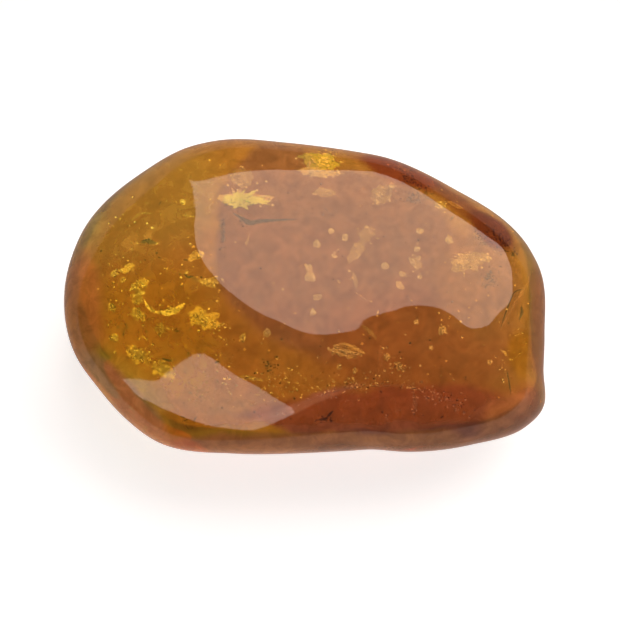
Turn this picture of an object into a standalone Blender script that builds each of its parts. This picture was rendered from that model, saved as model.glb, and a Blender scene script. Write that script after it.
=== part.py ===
"""A polished amber pebble: one solid stone that lies on a small flat.

The stone is drawn about its girdle, the line where it is widest to an eye that looks down at it
along a slanting sight line. From the girdle the skin swells up to a crown and down to a belly,
and the broad faces that were worn flat before polishing cut it back, with soft edges between
them. Then the drawn shape is laid down on the table, which is the plane Z = 0.

Drawing frame: u to the right, v up across the sight line, w towards the eye.
Stone frame:   X to the right, Y away from the eye, Z up. Metres.
"""

import math

import bmesh
import bpy
import numpy as np
from mathutils import Vector

# The eye looks down at the table at this angle, and the girdle lies at the second one.
SIGHT_ELEVATION = 66.0
GIRDLE_TILT = 9.0

# The girdle, anticlockwise from the right: bearing in degrees, reach from the centre in metres.
# The close points near 330 degrees are the notch and the knuckle under it.
GIRDLE = [
    (7, 0.0236), (12, 0.0230), (37, 0.0184), (61, 0.0162), (70, 0.0156), (98, 0.0158),
    (121, 0.0184), (129, 0.0194), (141, 0.0206), (165, 0.0235), (180, 0.0242), (194, 0.0237),
    (203, 0.0226), (214, 0.0215), (224, 0.0205), (245, 0.0171), (267, 0.0155), (287, 0.0159),
    (293, 0.0164), (304, 0.0185), (318, 0.0219), (329, 0.0251), (335, 0.0258), (343, 0.0247),
    (351, 0.0241),
]

CROWN_RISE = 0.0112  # how far the skin would swell towards the eye, were no face worn on it
CROWN_POWER = 2.4  # 2 is an egg, and more is a fuller pillow
BELLY_DROP = 0.0114  # the same two, away from the eye
BELLY_POWER = 2.6
EDGE_POWER = 14.0  # how sharply the faces meet
MOST_WORN = 0.85  # the most of the girdle that the faces may hold, before they cut it back

# Worn faces: bearing in degrees, lean away from the sight line in degrees, and distance from
# the centre in metres.
FACES = {
    "crown": (78, 17, 0.0092),
    "shoulder": (-75, 9, 0.0097),
    "front": (-86, 33, 0.0116),
    "front_left": (-124, 29, 0.0112),
    "right_end": (-3, 31, 0.0156),
    "corner": (-38, 50, 0.0212),
    "back_left": (140, 44, 0.0172),
    "left_end": (186, 52, 0.0236),
    "back_right": (50, 47, 0.0164),
}
BELLY_REACH = 0.0104  # from the centre down to the level face that the stone lies on
REST_CUT = 0.00006  # how much of that soft face is ground away to make the true flat

SPHERE_CUTS = 5  # subdivisions of the icosphere that is shaped into the stone


def sight_frame():
    """The drawing frame's v and w axes in the stone frame, and the slide that lays it down."""
    slope = math.radians(SIGHT_ELEVATION)
    v_axis = np.array([0.0, math.sin(slope), math.cos(slope)])
    w_axis = np.array([0.0, -math.cos(slope), math.sin(slope)])
    slide = math.tan(math.radians(90 - SIGHT_ELEVATION - GIRDLE_TILT))
    return v_axis, w_axis, slide


def lay_down(points):
    """Drawing frame to stone frame. Sliding along the sight line leaves the outline as drawn."""
    v_axis, w_axis, slide = sight_frame()
    u, v, w = points.T
    along = np.outer(v, v_axis) + np.outer(w - slide * v, w_axis)
    along[:, 0] += u
    return along


def face_normal(bearing, lean):
    """Unit vector in the drawing frame at that lean from the sight line."""
    bearing, lean = math.radians(bearing), math.radians(lean)
    across = math.sin(lean)
    return np.array([across * math.cos(bearing), across * math.sin(bearing), math.cos(lean)])


def level_face_normal():
    """The normal, in the drawing frame, of a face that will be level and face down."""
    v_axis, w_axis, slide = sight_frame()
    down = np.array([0.0, 0.0, -1.0])
    normal = np.array([0.0, down @ v_axis - slide * (down @ w_axis), down @ w_axis])
    return normal / np.linalg.norm(normal)


def girdle_reach(bearing):
    """The girdle's reach at each bearing: a smooth closed curve through its points."""
    at, reach = np.array(GIRDLE, float).T
    at = np.concatenate([[at[-1] - 360], at, at[:2] + 360])
    reach = np.concatenate([[reach[-1]], reach, reach[:2]])
    step = np.diff(at)
    rise = np.diff(reach) / step
    slope = np.zeros(len(at))
    slope[1:-1] = (rise[:-1] * step[1:] + rise[1:] * step[:-1]) / (step[:-1] + step[1:])
    bearing = np.mod(bearing, 360)
    bearing = np.where(bearing < at[1], bearing + 360, bearing)
    i = np.clip(np.searchsorted(at, bearing, side="right") - 1, 1, len(at) - 3)
    span = at[i + 1] - at[i]
    t = (bearing - at[i]) / span
    return (
        (2 * t**3 - 3 * t**2 + 1) * reach[i]
        + (t**3 - 2 * t**2 + t) * span * slope[i]
        + (3 * t**2 - 2 * t**3) * reach[i + 1]
        + (t**3 - t**2) * span * slope[i + 1]
    )


def face_share(directions):
    """How strongly the worn faces hold the skin back along each unit direction."""
    share = np.zeros(len(directions))
    for bearing, lean, distance in FACES.values():
        towards = directions @ face_normal(bearing, lean)
        share += np.maximum(0, towards / distance) ** EDGE_POWER
    towards = directions @ level_face_normal()
    return share + np.maximum(0, towards / BELLY_REACH) ** EDGE_POWER


def skin(directions):
    """The stone's surface along unit directions of the drawing frame."""
    across = np.hypot(directions[:, 0], directions[:, 1])
    bearing = np.arctan2(directions[:, 1], directions[:, 0])
    rim = np.stack([np.cos(bearing), np.sin(bearing), np.zeros(len(bearing))], axis=1)
    # The faces reach the girdle too, so the pillow is let out there by as much as they take.
    drawn = girdle_reach(np.degrees(bearing)) ** -EDGE_POWER
    worn = np.minimum(face_share(rim), MOST_WORN * drawn)
    pillow_reach = (drawn - worn) ** (-1 / EDGE_POWER)
    towards_eye = directions[:, 2] > 0
    swell = np.where(towards_eye, CROWN_RISE, BELLY_DROP)
    power = np.where(towards_eye, CROWN_POWER, BELLY_POWER)
    pillow = (across / pillow_reach) ** power + np.abs(directions[:, 2] / swell) ** power
    held = pillow ** (EDGE_POWER / power) + face_share(directions)
    return directions * (held ** (-1 / EDGE_POWER))[:, None]


def shape_stone(mesh):
    """An icosphere pushed out to the skin and laid down, with its lowest soft face made flat."""
    shaper = bmesh.new()
    bmesh.ops.create_icosphere(shaper, subdivisions=SPHERE_CUTS, radius=1.0)
    directions = np.array([v.co.normalized() for v in shaper.verts])
    placed = lay_down(skin(directions))
    for vertex, place in zip(shaper.verts, placed):
        vertex.co = Vector(place)
    floor = placed[:, 2].min() + REST_CUT
    cut = bmesh.ops.bisect_plane(
        shaper,
        geom=shaper.verts[:] + shaper.edges[:] + shaper.faces[:],
        dist=1e-6,
        plane_co=(0, 0, floor),
        plane_no=(0, 0, 1),
        clear_inner=True,
    )
    rim = [e for e in cut["geom_cut"] if isinstance(e, bmesh.types.BMEdge)]
    flat = bmesh.ops.contextual_create(shaper, geom=rim)["faces"]
    bmesh.ops.recalc_face_normals(shaper, faces=shaper.faces[:])
    centre = [(max(axis) + min(axis)) / 2 for axis in zip(*(v.co for v in shaper.verts))]
    bmesh.ops.translate(shaper, verts=shaper.verts[:], vec=(-centre[0], -centre[1], -floor))
    bmesh.ops.triangulate(shaper, faces=flat)
    shaper.to_mesh(mesh)
    shaper.free()


def amber():
    """Clear honey-brown amber: 1.54 bends light as fossil resin does, and polish is near mirror."""
    material = bpy.data.materials.new("amber")
    material.use_nodes = True
    skin_shader = material.node_tree.nodes["Principled BSDF"]
    skin_shader.inputs["Base Color"].default_value = (0.34, 0.11, 0.012, 1)
    skin_shader.inputs["Roughness"].default_value = 0.04
    skin_shader.inputs["Metallic"].default_value = 0.0
    skin_shader.inputs["IOR"].default_value = 1.54
    skin_shader.inputs["Transmission Weight"].default_value = 1.0
    return material


def clear_scene():
    for thing in list(bpy.data.objects):
        bpy.data.objects.remove(thing)


def main():
    clear_scene()
    collection = bpy.data.collections.new("amber pebble")
    bpy.context.scene.collection.children.link(collection)
    mesh = bpy.data.meshes.new("amber_pebble")
    shape_stone(mesh)
    mesh.materials.append(amber())
    mesh.shade_smooth()
    stone = bpy.data.objects.new("amber_pebble", mesh)
    collection.objects.link(stone)


main()
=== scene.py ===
# %% [markdown]
# # A polished amber pebble
# Amber is fossil tree resin. This piece was tumbled and polished until it was clear enough to
# look into: a honey-brown body, darker at its right and along its front, with round stress
# cracks that glitter like gold leaf, gas bubbles, and grains of bark that the resin ran over.
# A clear thing shows nothing but its inside and the lamps on its skin. So the lesson builds
# the clear stone first, then the light, and last what is inside, which is turned to the light.

import math

import bmesh
import bpy
import numpy as np
from mathutils import Matrix, Vector, noise
from mathutils.bvhtree import BVHTree


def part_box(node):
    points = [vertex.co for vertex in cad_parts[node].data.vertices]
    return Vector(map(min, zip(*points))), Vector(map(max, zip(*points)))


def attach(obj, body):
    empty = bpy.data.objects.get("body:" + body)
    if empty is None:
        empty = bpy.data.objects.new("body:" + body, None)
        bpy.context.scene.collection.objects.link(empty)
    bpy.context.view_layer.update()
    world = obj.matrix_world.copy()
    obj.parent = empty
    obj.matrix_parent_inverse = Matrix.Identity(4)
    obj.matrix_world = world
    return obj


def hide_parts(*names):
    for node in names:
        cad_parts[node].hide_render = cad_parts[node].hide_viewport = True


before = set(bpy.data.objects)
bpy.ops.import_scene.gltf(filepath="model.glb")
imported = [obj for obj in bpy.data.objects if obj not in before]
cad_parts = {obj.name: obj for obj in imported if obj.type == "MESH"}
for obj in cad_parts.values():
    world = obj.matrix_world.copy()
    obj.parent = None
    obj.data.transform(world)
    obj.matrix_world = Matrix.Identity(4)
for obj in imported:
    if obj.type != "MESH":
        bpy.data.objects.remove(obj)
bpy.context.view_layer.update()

# %% [markdown]
# ## Units, colours and nodes
# Blender counts in metres, and a pebble is easier to think of in millimetres. Colours are
# written as they look on a screen (sRGB hex) and turned linear once, which is what the renderer
# adds and multiplies. One small function adds a node, so that each finish below reads as a list.

# %% Small helpers
MM = 0.001


def linear(hex_colour):
    """A screen colour such as "#C98A3A" as the linear RGB that the renderer works in."""
    channels = [int(hex_colour[i : i + 2], 16) / 255 for i in (1, 3, 5)]
    return [c / 12.92 if c <= 0.04045 else ((c + 0.055) / 1.055) ** 2.4 for c in channels]


def add_node(tree, kind, inputs=(), **settings):
    """A node of that kind. inputs gives each socket a value, or the output that feeds it."""
    node = tree.nodes.new(kind)
    for name, value in settings.items():
        setattr(node, name, value)
    for socket, value in dict(inputs).items():
        if isinstance(value, bpy.types.NodeSocket):
            tree.links.new(value, node.inputs[socket])
        else:
            node.inputs[socket].default_value = value
    return node


def add_object(name, mesh):
    """An object at the origin that shows the mesh."""
    thing = bpy.data.objects.new(name, mesh)
    bpy.context.scene.collection.objects.link(thing)
    return thing


print("screen grey #808080 is", round(linear("#808080")[0], 3), "in linear light")

# %% [markdown]
# ## The eye
# The photograph looks down at the stone at about 66 degrees. Where it looks from comes first,
# because everything inside the stone is placed by where it is seen. The lens is long, as for
# a product photograph taken from a tripod, so the stone shows almost no perspective.

# %% Where the eye is
SIGHT_ELEVATION = 66.0
PIXELS_PER_MM = 10.0
PICTURE_SIDE = 620
LENS, SENSOR = 200.0, 36.0
AIM_PAST_HEART = (0.4 * MM, -1.3 * MM)  # from the stone's heart, right and up across the view

slope = math.radians(SIGHT_ELEVATION)
RIGHT = Vector((1, 0, 0))
UP = Vector((0, math.sin(slope), math.cos(slope)))
TO_EYE = Vector((0, -math.cos(slope), math.sin(slope)))
eye_distance = PICTURE_SIDE / PIXELS_PER_MM * MM / SENSOR * LENS
print("the eye is", round(eye_distance, 3), "m away")

# %% [markdown]
# ## The stone
# A tumbled pebble is a soft pillow with broad, slightly flattened faces. Sculpting would do, and
# so would subdividing a cage, but a formula gives the smoothest polish: along each direction
# from the stone's heart, a pillow and every worn face each say how far the skin may go, and
# a high power adds them up, so the nearest one wins and their meetings stay softly rounded.
# The girdle is drawn as the eye sees it, then the shape is laid down along the sight line,
# which leaves the outline as drawn. The numbers are those of the solid part.

# %% The driving sizes of the stone
GIRDLE_TILT = 9.0
# Bearing in degrees, anticlockwise from the right, and reach from the heart in metres.
GIRDLE = [
    (7, 0.0236), (12, 0.0230), (37, 0.0184), (61, 0.0162), (70, 0.0156), (98, 0.0158),
    (121, 0.0184), (129, 0.0194), (141, 0.0206), (165, 0.0235), (180, 0.0242), (194, 0.0237),
    (203, 0.0226), (214, 0.0215), (224, 0.0205), (245, 0.0171), (267, 0.0155), (287, 0.0159),
    (293, 0.0164), (304, 0.0185), (318, 0.0219), (329, 0.0251), (335, 0.0258), (343, 0.0247),
    (351, 0.0241),
]
CROWN_RISE, CROWN_POWER = 0.0112, 2.4  # the pillow towards the eye; a power of 2 is an egg
BELLY_DROP, BELLY_POWER = 0.0114, 2.6  # the pillow away from the eye
EDGE_POWER = 14.0  # how sharply the faces meet
MOST_WORN = 0.85  # the most of the girdle that the faces may hold
# Each worn face: bearing and lean from the sight line in degrees, distance from the heart.
FACES = {
    "crown": (78, 17, 0.0092),
    "shoulder": (-75, 9, 0.0097),
    "front": (-86, 33, 0.0116),
    "front_left": (-124, 29, 0.0112),
    "right_end": (-3, 31, 0.0156),
    "corner": (-38, 50, 0.0212),
    "back_left": (140, 44, 0.0172),
    "left_end": (186, 52, 0.0236),
    "back_right": (50, 47, 0.0164),
}
BELLY_REACH = 0.0104  # down to the level face that the stone lies on
REST_CUT = 0.00006  # how far that soft face is pressed level
SPHERE_CUTS = 7  # 1 is twenty triangles, and each more splits every one of them in four
SLIDE = math.tan(math.radians(90 - SIGHT_ELEVATION - GIRDLE_TILT))
print(len(GIRDLE), "girdle points and", len(FACES), "worn faces")

# %% [markdown]
# ## The skin as a formula
# The real skin was ground by other stones in a tumbling drum. Here every direction from the
# heart gets one distance: the girdle gives it at the widest, the pillow between there and
# the poles, and each worn face wherever it lies nearer than the pillow. NumPy works out all the
# directions at once, which is why these functions take long lists and not single points.

# %% The girdle, the worn faces and the skin
def face_normal(bearing, lean):
    """Unit vector in the drawing frame at that lean from the sight line."""
    bearing, lean = math.radians(bearing), math.radians(lean)
    across = math.sin(lean)
    return np.array([across * math.cos(bearing), across * math.sin(bearing), math.cos(lean)])


def level_face_normal():
    """The normal, in the drawing frame, of a face that will be level and face down."""
    up, to_eye, down = np.array(UP), np.array(TO_EYE), np.array([0.0, 0.0, -1.0])
    normal = np.array([0.0, down @ up - SLIDE * (down @ to_eye), down @ to_eye])
    return normal / np.linalg.norm(normal)


def girdle_reach(bearing):
    """The girdle's reach at each bearing: a smooth closed curve through its points."""
    at, reach = np.array(GIRDLE, float).T
    at = np.concatenate([[at[-1] - 360], at, at[:2] + 360])
    reach = np.concatenate([[reach[-1]], reach, reach[:2]])
    step = np.diff(at)
    rise = np.diff(reach) / step
    slopes = np.zeros(len(at))
    slopes[1:-1] = (rise[:-1] * step[1:] + rise[1:] * step[:-1]) / (step[:-1] + step[1:])
    bearing = np.mod(bearing, 360)
    bearing = np.where(bearing < at[1], bearing + 360, bearing)
    i = np.clip(np.searchsorted(at, bearing, side="right") - 1, 1, len(at) - 3)
    span = at[i + 1] - at[i]
    t = (bearing - at[i]) / span
    return (
        (2 * t**3 - 3 * t**2 + 1) * reach[i]
        + (t**3 - 2 * t**2 + t) * span * slopes[i]
        + (3 * t**2 - 2 * t**3) * reach[i + 1]
        + (t**3 - t**2) * span * slopes[i + 1]
    )


def face_share(directions):
    """How strongly the worn faces hold the skin back along each unit direction."""
    share = np.zeros(len(directions))
    for bearing, lean, distance in FACES.values():
        towards = directions @ face_normal(bearing, lean)
        share += np.maximum(0, towards / distance) ** EDGE_POWER
    towards = directions @ level_face_normal()
    return share + np.maximum(0, towards / BELLY_REACH) ** EDGE_POWER


def skin(directions):
    """The stone's surface along unit directions of the drawing frame."""
    across = np.hypot(directions[:, 0], directions[:, 1])
    bearing = np.arctan2(directions[:, 1], directions[:, 0])
    rim = np.stack([np.cos(bearing), np.sin(bearing), np.zeros(len(bearing))], axis=1)
    # The faces reach the girdle too, so the pillow is let out there by as much as they take.
    drawn = girdle_reach(np.degrees(bearing)) ** -EDGE_POWER
    worn = np.minimum(face_share(rim), MOST_WORN * drawn)
    pillow_reach = (drawn - worn) ** (-1 / EDGE_POWER)
    towards_eye = directions[:, 2] > 0
    swell = np.where(towards_eye, CROWN_RISE, BELLY_DROP)
    power = np.where(towards_eye, CROWN_POWER, BELLY_POWER)
    pillow = (across / pillow_reach) ** power + np.abs(directions[:, 2] / swell) ** power
    held = pillow ** (EDGE_POWER / power) + face_share(directions)
    return directions * (held ** (-1 / EDGE_POWER))[:, None]


def lay_down(points):
    """Drawing frame to stone frame, sliding along the sight line."""
    u, v, w = points.T
    along = np.outer(v, UP) + np.outer(w - SLIDE * v, TO_EYE)
    along[:, 0] += u
    return along


print("the skin straight up the sight line, mm:", skin(np.array([[0.0, 0.0, 1.0]])) / MM)

# %% [markdown]
# ## From a ball to the pebble
# An icosphere spreads its corners evenly, so the polish shows no poles or seams. Each corner is
# pushed out to the skin, the shape is laid down, and its lowest soft face is pressed level,
# because the pebble lies on a small flat. The ball is finer than the solid's, since a mirror
# of a lamp shows every facet.

# %% Shape the stone from a ball
def shape_stone():
    """The fine mesh of the stone, and the heart that its skin was drawn about."""
    shaper = bmesh.new()
    bmesh.ops.create_icosphere(shaper, subdivisions=SPHERE_CUTS, radius=1.0)
    directions = np.array([v.co.normalized() for v in shaper.verts])
    placed = lay_down(skin(directions))
    floor = placed[:, 2].min() + REST_CUT
    placed[:, 2] = np.maximum(placed[:, 2], floor)
    middle = (placed.max(axis=0) + placed.min(axis=0)) / 2
    heart = Vector((-middle[0], -middle[1], -floor))
    for vertex, place in zip(shaper.verts, placed):
        vertex.co = Vector(place) + heart
    bmesh.ops.recalc_face_normals(shaper, faces=shaper.faces[:])
    mesh = bpy.data.meshes.new("amber_stone")
    shaper.to_mesh(mesh)
    shaper.free()
    mesh.shade_smooth()
    return mesh, heart


stone_mesh, HEART = shape_stone()
stone = add_object("amber_stone", stone_mesh)
low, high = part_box("amber_pebble")
print(len(stone_mesh.polygons), "faces; past the solid, mm:")
for axis in range(3):
    places = [v.co[axis] for v in stone_mesh.vertices]
    over = (low[axis] - min(places), max(places) - high[axis])
    print(" ", "XYZ"[axis], [round(1000 * side, 3) for side in over])

# %% [markdown]
# ## Seeing into the stone
# A thing in clear stone isn't where it seems to be: the sight line bends as it enters the skin.
# So each inclusion is given by the picture point where it is seen and by its depth, and
# Snell's law finds its real place. Amber bends light by 1.54.

# %% Find a place inside by where it is seen
AMBER_IOR = 1.54

eye = HEART + AIM_PAST_HEART[0] * RIGHT + AIM_PAST_HEART[1] * UP + eye_distance * TO_EYE
skin_tree = BVHTree.FromPolygons(
    [v.co.copy() for v in stone_mesh.vertices], [tuple(p.vertices) for p in stone_mesh.polygons]
)


def sight_line(x, y):
    """The direction from the eye through a picture point."""
    x, y = float(x), float(y)
    half = PICTURE_SIDE / 2
    per_pixel = SENSOR / LENS / PICTURE_SIDE
    return ((x - half) * per_pixel * RIGHT - (y - half) * per_pixel * UP - TO_EYE).normalized()


def bend_in(ray, normal):
    """A ray of the air, bent as it enters the stone."""
    ratio = 1 / AMBER_IOR
    cosine = -normal.dot(ray)
    return ratio * ray + (ratio * cosine - math.sqrt(1 - ratio**2 * (1 - cosine**2))) * normal


def into_stone(x, y, depth):
    """The place seen at a picture point, that many mm under the skin, and the bent sight line."""
    ray = sight_line(x, y)
    hit, normal, _, _ = skin_tree.ray_cast(eye, ray)
    if hit is None:
        raise ValueError(f"picture point {x}, {y} misses the stone")
    bent = bend_in(ray, normal)
    return hit + bent * depth * MM, bent


print("seen at the picture's middle, 4 mm deep:", into_stone(310, 310, 4)[0])

# %% [markdown]
# ## The camera
# It stands where the photograph was taken from. The Standard view transform keeps the colours
# as they are written below.

# %% Set up the camera
camera = bpy.data.objects.new("eye", bpy.data.cameras.new("eye"))
bpy.context.scene.collection.objects.link(camera)
camera.data.lens = LENS
camera.data.sensor_width = SENSOR
camera.data.clip_start = 0.01
camera.location = eye
camera.rotation_mode = "QUATERNION"
camera.rotation_quaternion = (-TO_EYE).to_track_quat("-Z", "Y")
bpy.context.scene.camera = camera
bpy.context.scene.view_settings.view_transform = "Standard"
print("the eye stands at", [round(side, 3) for side in camera.location])

# %% [markdown]
# ## The amber itself
# Amber is a clear resin, polished by tumbling with ever finer powder until it mirrors a lamp.
# What gives it its colour is depth: most of the blue is swallowed within a centimetre, green
# more slowly, and red least of all, so the shader has a plain absorbing volume behind a clear
# polished skin. The resin came in several flows of different tint, so the skin's own tint
# shifts softly from gold at the left to brown at the right and red-brown along the front.
# Along the rims the tint is painted light, a warmer glow of light caught inside the stone; along
# the front ridge it is a painted pink reflection, and one spot at the top right is painted shade.

# %% What the amber does to light
ABSORB_PER_METRE = (33.0, 95.0, 200.0)  # how fast red, green and blue are swallowed
POLISH_ROUGHNESS = 0.02
CLEARNESS = 0.68  # the rest of the light is scattered by haze that is too fine to draw
MIRROR_LEVEL = 0.36  # 0.5 is a flawless polish, and fine scratches take the rest away
FLOW_SIZE_MM = 5.0
FLOW_WANDER_MM = 2.4  # how far the edges of the flows wander
GOLD_TINT = "#EFC158"
# Each flow: the picture point that it is seen about, its half width and height in mm, its turn
# in degrees, how sharp its edge is (0 to 1), and its tint.
FLOWS_AND_PAINTED_LIGHT = {
    "olive top left": ((140, 205), (9, 6.5), 30, 0.2, "#F6DC62"),
    "gold low left": ((150, 330), (8, 7), 0, 0.2, "#FFD84A"),
    "brown middle": ((345, 262), (12.8, 10.5), 0, 0.95, "#CAA36A"),
    "brown middle left": ((275, 225), (6, 11), 0, 0.95, "#CAA36A"),
    "brown right": ((430, 350), (11, 7), 0, 0.2, "#CC9858"),
    "gold right": ((480, 280), (5, 6), 0, 0.3, "#D8AC60"),
    "red front": ((390, 425), (17, 4.2), 3, 0.7, "#BC7658"),
    "gold right end": ((521, 354), (1.8, 2.6), 0, 0.3, "#DDA83C"),
    # Painted light, from here to the left front rim: a warmer tint that stands in for the glow of
    # light caught inside the stone along its rims.
    "golden band": ((215, 428), (9, 1.6), -8, 0.5, "#F8B842"),
    "front rim": ((310, 446), (20, 1.5), 1, 0.4, "#F3A25F"),
    "corner rim": ((515, 415), (4.5, 2.5), 40, 0.3, "#E8995E"),
    "right rim": ((543, 330), (1.6, 7), 0, 0.3, "#EDA861"),
    "left rim": ((78, 320), (2.6, 8.5), 0, 0.2, "#FFAE54"),
    "left front rim": ((128, 402), (7, 1.7), -48, 0.4, "#F0B870"),
    # Painted reflection: a pink band where the front ridge mirrors a lamp.
    "ridge reflection": ((306, 402), (5.2, 0.55), 22, 0.1, "#E8AC90"),
    "red top right": ((402, 173), (5, 1.6), -22, 0.3, "#A0583A"),
    # Painted shade: a darker tint over a spot that the table's light, gathered through the stone,
    # makes bright.
    "brown top right": ((456, 201), (3.2, 1.3), -30, 0.2, "#AC763C"),
    "dark right shoulder": ((494, 231), (3.6, 1.5), -48, 0.3, "#84482E"),
}
# Where the amber is cloudy, and two cloudy bands of painted light: the same measures, and how
# clear it still is.
CLOUDY_AND_PAINTED_LIGHT = {
    "left front rim": ((132, 408), (9, 3.0), -48, 0.2, 0.35),
    "front rim": ((230, 446), (9, 1.6), 1, 0.2, 0.4),
    "left end": ((78, 312), (2.4, 9), 0, 0.2, 0.4),
    "left shoulder": ((84, 236), (2.0, 4.5), -22, 0.2, 0.5),
    # These last two are painted light: cloudy bands laid over a dark line that refraction draws
    # between the front rim and the body, so that their lit haze lifts that shade.
    "front shade lift": ((330, 434), (17, 1.2), 1, 0.3, 0.45),
    "corner shade lift": ((497, 414), (5, 1.4), 30, 0.3, 0.5),
}
CLOUD_SIZE_MM = 1.6
CLOUD_SHADE = 0.72  # how much of the light the darkest clouds let through
CLOUD_RANGE = (0.38, 0.6)  # the noise that makes the darkest and the clearest amber
print(len(FLOWS_AND_PAINTED_LIGHT), "flows and", len(CLOUDY_AND_PAINTED_LIGHT), "cloudy patches")

# %% [markdown]
# ## A patch of tint
# A flow of other tint or a cloudy patch has a soft, wandering edge. A Mapping node shrinks
# and turns the stone's own coordinates to the patch, so a plain distance from its middle
# tells inside from outside, and the patch moves with the stone.

# %% A mask in the shape of an ellipse
SOFT_EDGE, SHARP_EDGE = (1.3, 0.5), (1.0, 0.9)  # where the mask starts and where it is full


def patch_mask(tree, vector, spot, size, turn, sharp):
    """An output that is 1 inside an ellipse on the skin and 0 outside it."""
    place, _ = into_stone(*spot, 0)
    picture = Matrix((RIGHT, UP, TO_EYE)).transposed()
    turned = picture @ Matrix.Rotation(math.radians(turn), 3, "Z")
    local = add_node(
        tree,
        "ShaderNodeMapping",
        {
            "Vector": vector,
            "Location": place,
            "Rotation": turned.to_euler(),
            "Scale": (size[0] * MM, size[1] * MM, max(size) * MM),
        },
        vector_type="TEXTURE",
    )
    reach = add_node(tree, "ShaderNodeVectorMath", {0: local.outputs[0]}, operation="LENGTH")
    mask = add_node(
        tree,
        "ShaderNodeMapRange",
        {
            "Value": reach.outputs["Value"],
            "From Min": SOFT_EDGE[0] + (SHARP_EDGE[0] - SOFT_EDGE[0]) * sharp,
            "From Max": SOFT_EDGE[1] + (SHARP_EDGE[1] - SOFT_EDGE[1]) * sharp,
        },
        interpolation_type="SMOOTHSTEP",
    )
    return mask.outputs[0]


# %% [markdown]
# ## The amber's shader
# Principled BSDF makes the polished skin: nearly smooth, clear, and with the bending power of
# amber. Noise bends the coordinates a little before the patches read them, so no edge is a true
# ellipse. Volume Absorption does the swallowing, so thick parts are darker than thin ones, as
# in the real stone.

# %% The amber material
def make_amber():
    """Fossil resin, tumbled and polished: it mirrors lamps on top and glows where it is thin."""
    material = bpy.data.materials.new("clear_amber")
    material.use_nodes = True
    tree = material.node_tree
    shader = tree.nodes["Principled BSDF"]
    coordinates = add_node(tree, "ShaderNodeTexCoord")
    wander = add_node(
        tree,
        "ShaderNodeTexNoise",
        {"Vector": coordinates.outputs["Object"], "Scale": 1 / (FLOW_SIZE_MM * MM), "Detail": 3},
    )
    centred = add_node(
        tree,
        "ShaderNodeVectorMath",
        {0: wander.outputs["Color"], 1: (0.5, 0.5, 0.5)},
        operation="SUBTRACT",
    )
    bent = add_node(
        tree,
        "ShaderNodeVectorMath",
        {0: centred.outputs[0], 1: (FLOW_WANDER_MM * MM,) * 3, 2: coordinates.outputs["Object"]},
        operation="MULTIPLY_ADD",
    ).outputs[0]
    tint = add_node(tree, "ShaderNodeRGB").outputs[0]
    tint.default_value = (*linear(GOLD_TINT), 1)
    for spot, size, turn, sharp, colour in FLOWS_AND_PAINTED_LIGHT.values():
        mixed = add_node(
            tree,
            "ShaderNodeMix",
            {
                "Factor": patch_mask(tree, bent, spot, size, turn, sharp),
                "A": tint,
                "B": (*linear(colour), 1),
            },
            data_type="RGBA",
        )
        tint = mixed.outputs["Result"]
    clearness = CLEARNESS
    for spot, size, turn, sharp, still_clear in CLOUDY_AND_PAINTED_LIGHT.values():
        mixed = add_node(
            tree,
            "ShaderNodeMix",
            {
                "Factor": patch_mask(tree, bent, spot, size, turn, sharp),
                "A": clearness,
                "B": still_clear,
            },
        )
        clearness = mixed.outputs["Result"]
    tree.links.new(clearness, shader.inputs["Transmission Weight"])
    cloud = add_node(
        tree,
        "ShaderNodeTexNoise",
        {
            "Vector": coordinates.outputs["Object"],
            "Scale": 1 / (CLOUD_SIZE_MM * MM),
            "Detail": 6,
            "Roughness": 0.6,
            "Distortion": 0.8,
        },
    )
    shade = add_node(
        tree,
        "ShaderNodeMapRange",
        {
            "Value": cloud.outputs["Fac"],
            "From Min": CLOUD_RANGE[0],
            "From Max": CLOUD_RANGE[1],
            "To Min": CLOUD_SHADE,
            "To Max": 1.0,
        },
    )
    clouded = add_node(
        tree,
        "ShaderNodeVectorMath",
        {0: tint, "Scale": shade.outputs[0]},
        operation="SCALE",
    )
    tree.links.new(clouded.outputs[0], shader.inputs["Base Color"])
    shader.inputs["Roughness"].default_value = POLISH_ROUGHNESS
    shader.inputs["IOR"].default_value = AMBER_IOR
    shader.inputs["Specular IOR Level"].default_value = MIRROR_LEVEL
    density = max(ABSORB_PER_METRE)
    absorption = add_node(
        tree,
        "ShaderNodeVolumeAbsorption",
        {"Color": (*[1 - a / density for a in ABSORB_PER_METRE], 1), "Density": density},
    )
    output = tree.nodes["Material Output"]
    tree.links.new(absorption.outputs[0], output.inputs["Volume"])
    return material


stone_mesh.materials.append(make_amber())
print("light left after 10 mm:", [round(math.exp(-a / 100), 2) for a in ABSORB_PER_METRE])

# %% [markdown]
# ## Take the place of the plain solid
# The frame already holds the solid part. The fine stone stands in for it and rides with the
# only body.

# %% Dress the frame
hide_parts("amber_pebble")
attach(stone, "root")
print("the fine stone replaces amber_pebble")

# %% [markdown]
# ## The light
# Two soft lamps are seen on the polished skin, a large one behind the stone and a smaller one
# low at its front left. On a mirror-like skin a lamp's outline is drawn as sharply as the
# stone's own, so each lamp is a glowing sheet, cut so that its image lies on the skin as in the
# photograph. The lamps are drawn on a sky chart: straight up is (0, 0), the horizon is
# the circle of radius 1, right is right, and +1 is the horizon behind the stone.

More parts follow.
